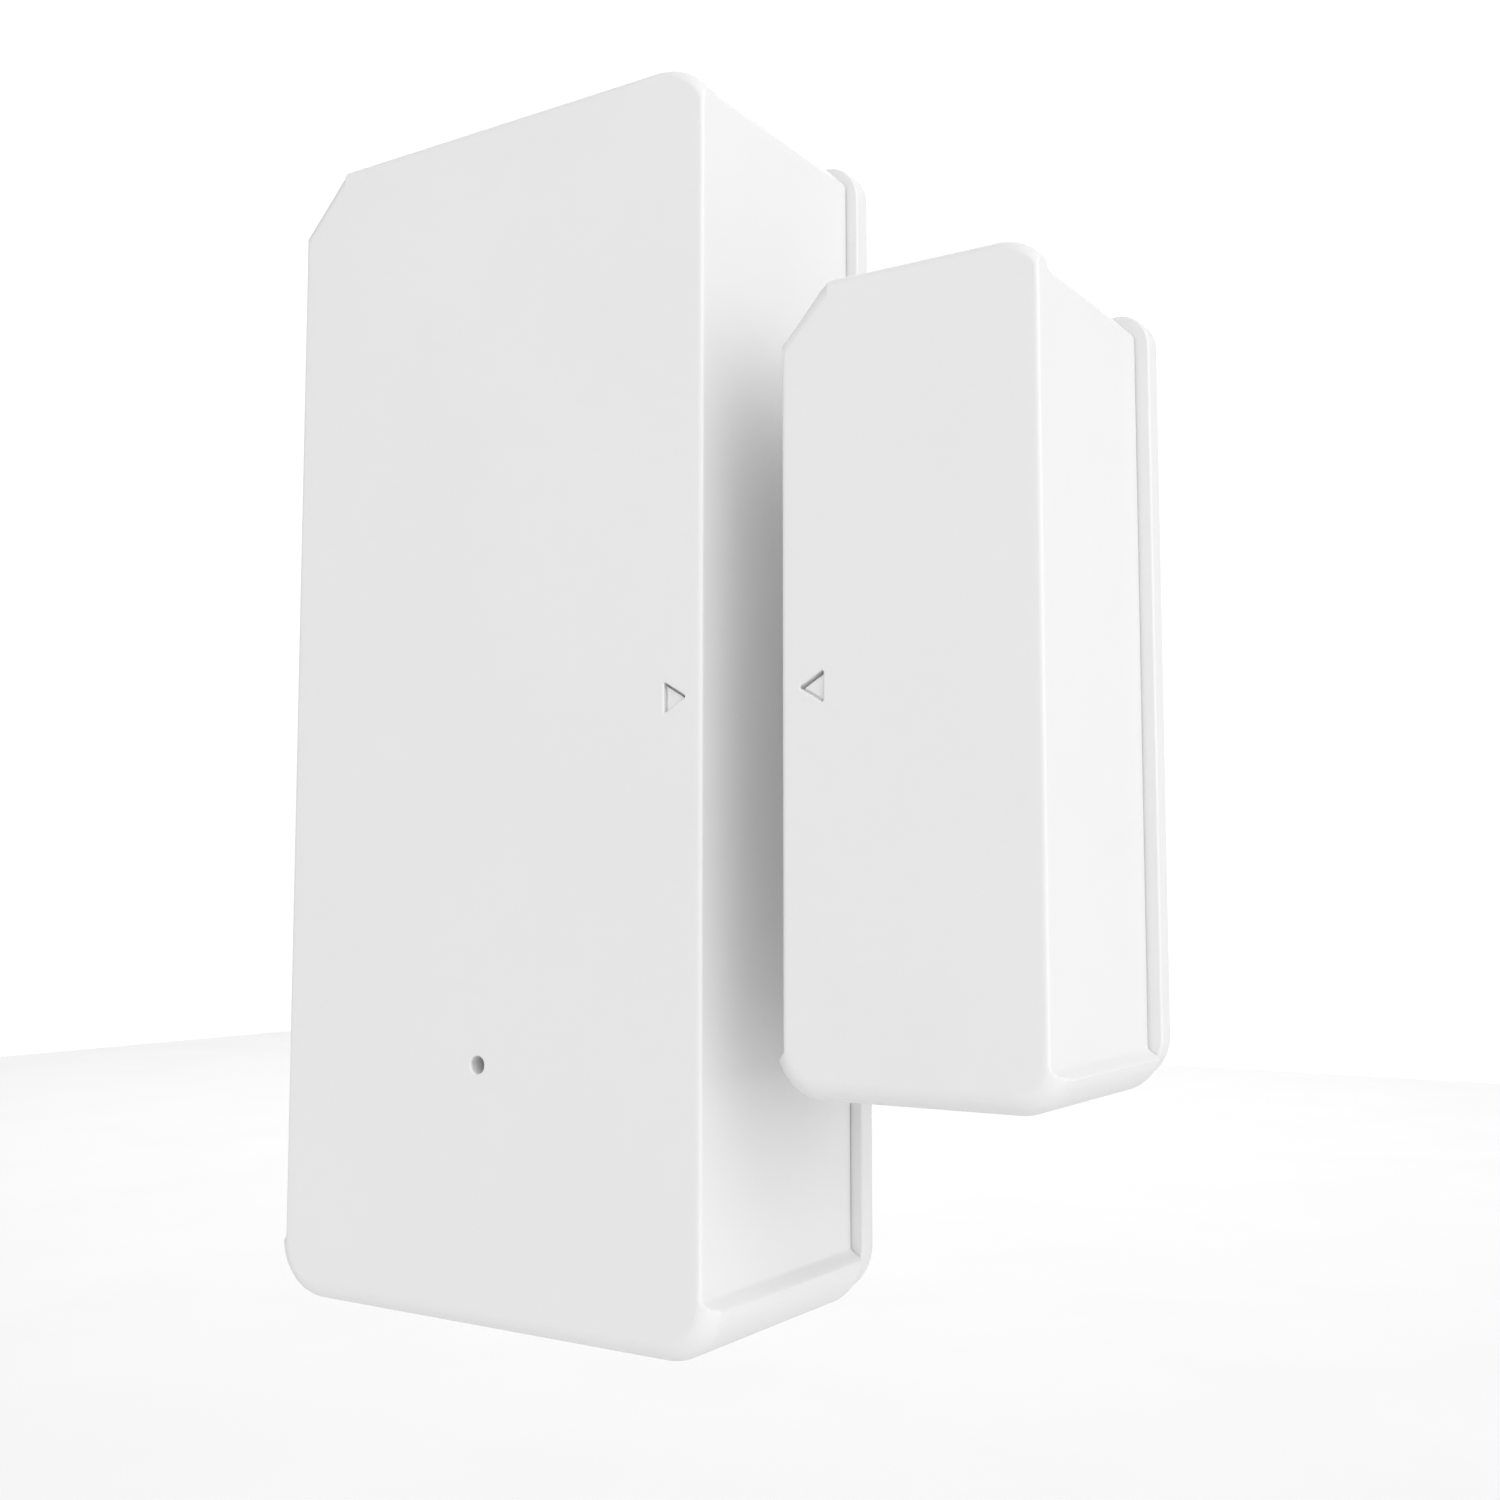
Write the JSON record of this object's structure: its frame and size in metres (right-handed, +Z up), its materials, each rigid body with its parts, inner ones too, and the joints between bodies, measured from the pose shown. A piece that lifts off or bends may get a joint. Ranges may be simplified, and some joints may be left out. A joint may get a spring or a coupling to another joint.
{
  "type": "door contact sensor",
  "caption": "Battery-powered magnetic door contact: a tall white transmitter box with a reed switch, beside a smaller magnet unit, both stuck on by adhesive pads.",
  "frame": {"origin": "centre of the transmitter's adhesive mounting face, where it sticks to the door frame", "axes": "+Z up along the long side, +Y into the wall behind the mounting face, +X from the transmitter to the magnet unit"},
  "size_m": [0.052, 0.0176, 0.0706],
  "materials": {
    "white_shell": "satin moulded ABS with a very fine spark texture",
    "white_plate": "satin moulded ABS",
    "tray_plastic": "matt moulded ABS",
    "button_plastic": "smooth moulded",
    "dark_plastic": "matt moulded",
    "foam_tape": "double-sided foam tape",
    "foam_pad": "open-cell foam",
    "clear_plastic": "clear moulded polycarbonate",
    "circuit_board": "green solder mask",
    "led_resin": "resin over a white body",
    "nickel": "nickel plated, softly worn",
    "spring_steel": "nickel-plated spring wire",
    "screw_steel": "zinc plated",
    "aluminium_can": "satin can",
    "reed_glass": "clear green-tinted glass",
    "cell_jacket": "shrunk film, plain",
    "cell_steel": "nickel-plated steel",
    "magnet_plating": "nickel-plated magnet"
  },
  "bodies": {
    "back_plate": {"back_plate": "white_plate", "adhesive_pad": "foam_tape"},
    "transmitter": {"front_shell": "white_shell", "light_pipe": "clear_plastic", "circuit_board": "circuit_board", "status_led": "led_resin", "wifi_module_board": "circuit_board", "wifi_shield_can": "nickel", "switch_body": "dark_plastic", "capacitor": "aluminium_can", "regulator": "dark_plastic", "reed_glass": "reed_glass", "reed_fixed_blade": "nickel", "reed_upper_lead": "nickel", "battery_tray": "tray_plastic", "contact_negative": "nickel", "contact_positive": "nickel", "contact_bridge": "nickel", "spring_left": "spring_steel", "spring_right": "spring_steel", "cell_left_jacket": "cell_jacket", "cell_left_cap": "cell_steel", "cell_left_base": "cell_steel", "cell_right_jacket": "cell_jacket", "cell_right_cap": "cell_steel", "cell_right_base": "cell_steel", "board_screw_left": "screw_steel", "board_screw_right": "screw_steel", "tray_screw_upper": "screw_steel", "tray_screw_lower": "screw_steel"},
    "pairing_button": {"pairing_button": "button_plastic", "switch_plunger": "dark_plastic"},
    "reed_blade": {"reed_moving_blade": "nickel"},
    "magnet_unit": {"magnet_shell": "white_shell", "magnet_back_plate": "white_plate", "magnet_adhesive_pad": "foam_tape", "magnet_cradle": "tray_plastic", "bar_magnet": "magnet_plating", "magnet_foam": "foam_pad"}
  },
  "joints": [
    {"name": "transmitter_pull_off", "type": "slide", "parent": "back_plate", "child": "transmitter", "axis": [0, -1, 0], "range_m": [0, 0.03]},
    {"name": "magnet_travel", "type": "slide", "parent": "back_plate", "child": "magnet_unit", "axis": [1, 0, 0], "range_m": [-0.003, 0.045]},
    {"name": "button_press", "type": "slide", "parent": "transmitter", "child": "pairing_button", "axis": [0, -1, 0], "range_m": [0, 0.00035], "stiffness_N_per_m": 600},
    {"name": "reed_flex", "type": "hinge", "parent": "transmitter", "child": "reed_blade", "pos_m": [0.01195, -0.01188, 0.0062], "axis": [1, 0, 0], "range_deg": [-0.15, 1.7]}
  ],
  "couplings": [
    {"joint": "reed_flex", "follows": "magnet_travel", "rad_per_m": 0.65}
  ]
}
